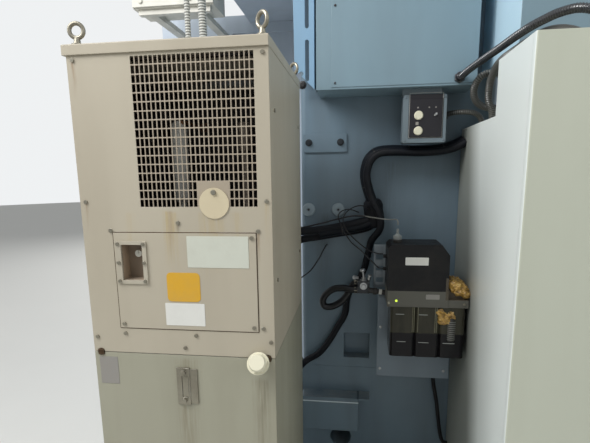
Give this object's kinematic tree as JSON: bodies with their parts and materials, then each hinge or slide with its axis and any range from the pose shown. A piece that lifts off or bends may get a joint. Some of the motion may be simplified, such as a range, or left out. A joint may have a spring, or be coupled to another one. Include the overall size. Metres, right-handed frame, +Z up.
{
  "type": "cnc machining center",
  "caption": "Vertical machining centre with cream oil chiller, blue-grey column, lubricator, electrical cabinet, tool changer and guarded work area.",
  "frame": {"origin": "centre of the outer box at floor level", "axes": "+X right seen from the service side, +Y from the service side to the operator, +Z up"},
  "size_m": [2.5, 3.28, 2.484],
  "materials": {
    "machine_paint": "satin blue-grey machine enamel",
    "pale_blue_paint": "satin light blue enamel",
    "relay_paint": "satin grey-blue enamel",
    "chiller_paint": "satin cream-grey enamel, streaked with rust under the grille",
    "tank_paint": "satin greenish cream enamel",
    "cabinet_paint": "fine satin cream enamel",
    "guard_paint": "satin lilac-grey enamel",
    "front_paint": "satin off-white enamel",
    "white_paint": "satin white enamel",
    "machined_steel": "ground and scraped steel",
    "dark_steel": "blackened steel",
    "plated_steel": "dull zinc plate",
    "black_housing": "matt black moulded plastic",
    "smoky_plastic": "smoky clear plastic with dark oil behind",
    "white_plastic": "white moulded plastic",
    "ivory_plastic": "off-white moulded plastic",
    "cream_sheet": "cream enamel",
    "red_plastic": "red moulded plastic",
    "green_plastic": "green moulded plastic",
    "black_rubber": "black hose rubber",
    "pale_conduit": "grey-white corrugated conduit",
    "black_conduit": "black corrugated conduit",
    "clear_glass": "clear laminated glass",
    "motor_paint": "satin black motor enamel",
    "fan_plastic": "black fan plastic",
    "dark_interior": "dark lacquered parts",
    "pendant_paint": "satin dark grey enamel"
  },
  "bodies": {
    "machine": {"bed": "machine_paint", "leveling_feet": "dark_steel", "column": "machine_paint", "column_fittings": "machine_paint", "guide_rails": "machined_steel", "axis_motors": "motor_paint", "chiller_tank": "tank_paint", "chiller_cabinet": "chiller_paint", "chiller_front_panel": "chiller_paint", "chiller_lid": "chiller_paint", "chiller_access_panel": "chiller_paint", "chiller_window_frame": "plated_steel", "refrigeration_unit": "dark_interior", "eyebolts": "plated_steel", "panel_screws": "plated_steel", "oil_sight_gauge": "plated_steel", "relay_box": "relay_paint", "slotted_bracket": "pale_blue_paint", "switch_box": "relay_paint", "lubricator_bracket": "machine_paint", "lubricator_tank": "smoky_plastic", "lubricator_pump_head": "black_housing", "level_switch": "white_plastic", "hose_bundle": "black_rubber", "lubrication_lines": "black_rubber", "cabinet_conduits": "black_conduit", "rear_conduits": "pale_conduit", "electrical_cabinet": "cabinet_paint", "cabinet_components": "dark_interior", "service_box": "relay_paint", "magazine_frame": "machine_paint", "guard_panels": "guard_paint", "front_guard": "front_paint", "junction_box": "white_paint"},
    "saddle_unit": {"saddle": "machine_paint"},
    "table_unit": {"work_table": "machined_steel"},
    "head_unit": {"spindle_head": "machine_paint", "spindle_motor": "motor_paint"},
    "spindle_unit": {"spindle": "machined_steel"},
    "z_screw": {"z_ball_screw": "machined_steel"},
    "y_screw": {"y_ball_screw": "machined_steel"},
    "x_screw": {"x_ball_screw": "machined_steel"},
    "carousel": {"tool_carousel": "machined_steel"},
    "change_shaft": {"arm_shaft": "machined_steel"},
    "change_arm": {"tool_change_arm": "dark_steel"},
    "sliding_door": {"front_door": "machine_paint", "door_window": "clear_glass"},
    "pendant": {"control_pendant": "pendant_paint"},
    "stop_button": {"emergency_stop": "red_plastic"},
    "start_button": {"cycle_start_button": "green_plastic"},
    "feed_knob": {"override_knob": "black_housing"},
    "upper_button": {"upper_push_button": "ivory_plastic"},
    "lower_button": {"lower_push_button": "ivory_plastic"},
    "toggle": {"toggle_lever": "plated_steel"},
    "thermostat": {"thermostat_knob": "white_plastic"},
    "disc": {"swing_disc": "cream_sheet"},
    "fan": {"chiller_fan": "fan_plastic"},
    "filler_cap": {"oil_filler_cap": "ivory_plastic"},
    "swing_door": {"cabinet_door": "cabinet_paint"},
    "switch_handle": {"main_switch_handle": "red_plastic"}
  },
  "joints": [
    {"name": "y_axis", "type": "slide", "parent": "machine", "child": "saddle_unit", "axis": [0, 1, 0], "range_m": [-0.255, 0.255]},
    {"name": "x_axis", "type": "slide", "parent": "saddle_unit", "child": "table_unit", "axis": [1, 0, 0], "range_m": [-0.4, 0.4]},
    {"name": "z_axis", "type": "slide", "parent": "machine", "child": "head_unit", "axis": [0, 0, 1], "range_m": [-0.5, 0]},
    {"name": "y_screw_turn", "type": "hinge", "parent": "machine", "child": "y_screw", "pos_m": [0, 0.45, 0.493], "axis": [0, 1, 0], "range_deg": [-7680, 7680]},
    {"name": "x_screw_turn", "type": "hinge", "parent": "saddle_unit", "child": "x_screw", "pos_m": [0, 0.45, 0.706], "axis": [1, 0, 0], "range_deg": [-12030, 12030]},
    {"name": "z_screw_turn", "type": "hinge", "parent": "machine", "child": "z_screw", "pos_m": [0, -0.128, 1.4], "axis": [0, 0, 1], "range_deg": [-15030, 30]},
    {"name": "spindle_turn", "type": "hinge", "parent": "head_unit", "child": "spindle_unit", "pos_m": [0, 0.45, 1.6], "axis": [0, 0, 1], "continuous": true},
    {"name": "carousel_turn", "type": "hinge", "parent": "machine", "child": "carousel", "pos_m": [0.4, 0.45, 1.93], "axis": [1, 0, 0], "continuous": true},
    {"name": "arm_plunge", "type": "slide", "parent": "machine", "child": "change_shaft", "axis": [0, 0, 1], "range_m": [-0.11, 0]},
    {"name": "arm_turn", "type": "hinge", "parent": "change_shaft", "child": "change_arm", "pos_m": [0.267, 0.45, 1.4], "axis": [0, 0, 1], "range_deg": [0, 270]},
    {"name": "door_slide", "type": "slide", "parent": "machine", "child": "sliding_door", "axis": [1, 0, 0], "range_m": [0, 0.8]},
    {"name": "pendant_swivel", "type": "hinge", "parent": "machine", "child": "pendant", "pos_m": [-1.204, 1.53, 1.3], "axis": [0, 0, 1], "range_deg": [0, 90]},
    {"name": "emergency_stop_press", "type": "slide", "parent": "pendant", "child": "stop_button", "axis": [0, -1, 0], "range_m": [0, 0.005]},
    {"name": "cycle_start_press", "type": "slide", "parent": "pendant", "child": "start_button", "axis": [0, -1, 0], "range_m": [0, 0.003], "stiffness_N_per_m": 500},
    {"name": "feed_override_turn", "type": "hinge", "parent": "pendant", "child": "feed_knob", "pos_m": [-1.074, 1.614, 1.112], "axis": [0, 1, 0], "range_deg": [0, 270]},
    {"name": "upper_button_press", "type": "slide", "parent": "machine", "child": "upper_button", "axis": [0, 1, 0], "range_m": [0, 0.004], "stiffness_N_per_m": 500},
    {"name": "lower_button_press", "type": "slide", "parent": "machine", "child": "lower_button", "axis": [0, 1, 0], "range_m": [0, 0.004], "stiffness_N_per_m": 500},
    {"name": "toggle_flip", "type": "hinge", "parent": "machine", "child": "toggle", "pos_m": [0.14, -0.874, 1.61], "axis": [1, 0, 0], "range_deg": [-15, 15]},
    {"name": "thermostat_turn", "type": "hinge", "parent": "machine", "child": "thermostat", "pos_m": [-0.767, -1.56, 1.178], "axis": [0, -1, 0], "range_deg": [0, 300]},
    {"name": "disc_swing", "type": "hinge", "parent": "machine", "child": "disc", "pos_m": [-0.53, -1.59, 1.349], "axis": [0, -1, 0], "range_deg": [-120, 120]},
    {"name": "chiller_fan_turn", "type": "hinge", "parent": "machine", "child": "fan", "pos_m": [-0.644, -0.988, 1.448], "axis": [0, 1, 0], "continuous": true},
    {"name": "filler_cap_turn", "type": "hinge", "parent": "machine", "child": "filler_cap", "pos_m": [-0.418, -1.588, 0.869], "axis": [0, -0.866, 0.5], "continuous": true},
    {"name": "cabinet_door_swing", "type": "hinge", "parent": "machine", "child": "swing_door", "pos_m": [0.272, -1.512, 0.9], "axis": [0, 0, -1], "range_deg": [0, 110]},
    {"name": "main_switch_turn", "type": "hinge", "parent": "swing_door", "child": "switch_handle", "pos_m": [1.12, -1.512, 1.18], "axis": [0, -1, 0], "range_deg": [0, 90]}
  ],
  "couplings": [
    {"joint": "y_screw_turn", "follows": "y_axis", "rad_per_m": 523.6},
    {"joint": "x_screw_turn", "follows": "x_axis", "rad_per_m": 523.6},
    {"joint": "z_screw_turn", "follows": "z_axis", "rad_per_m": 523.6}
  ]
}
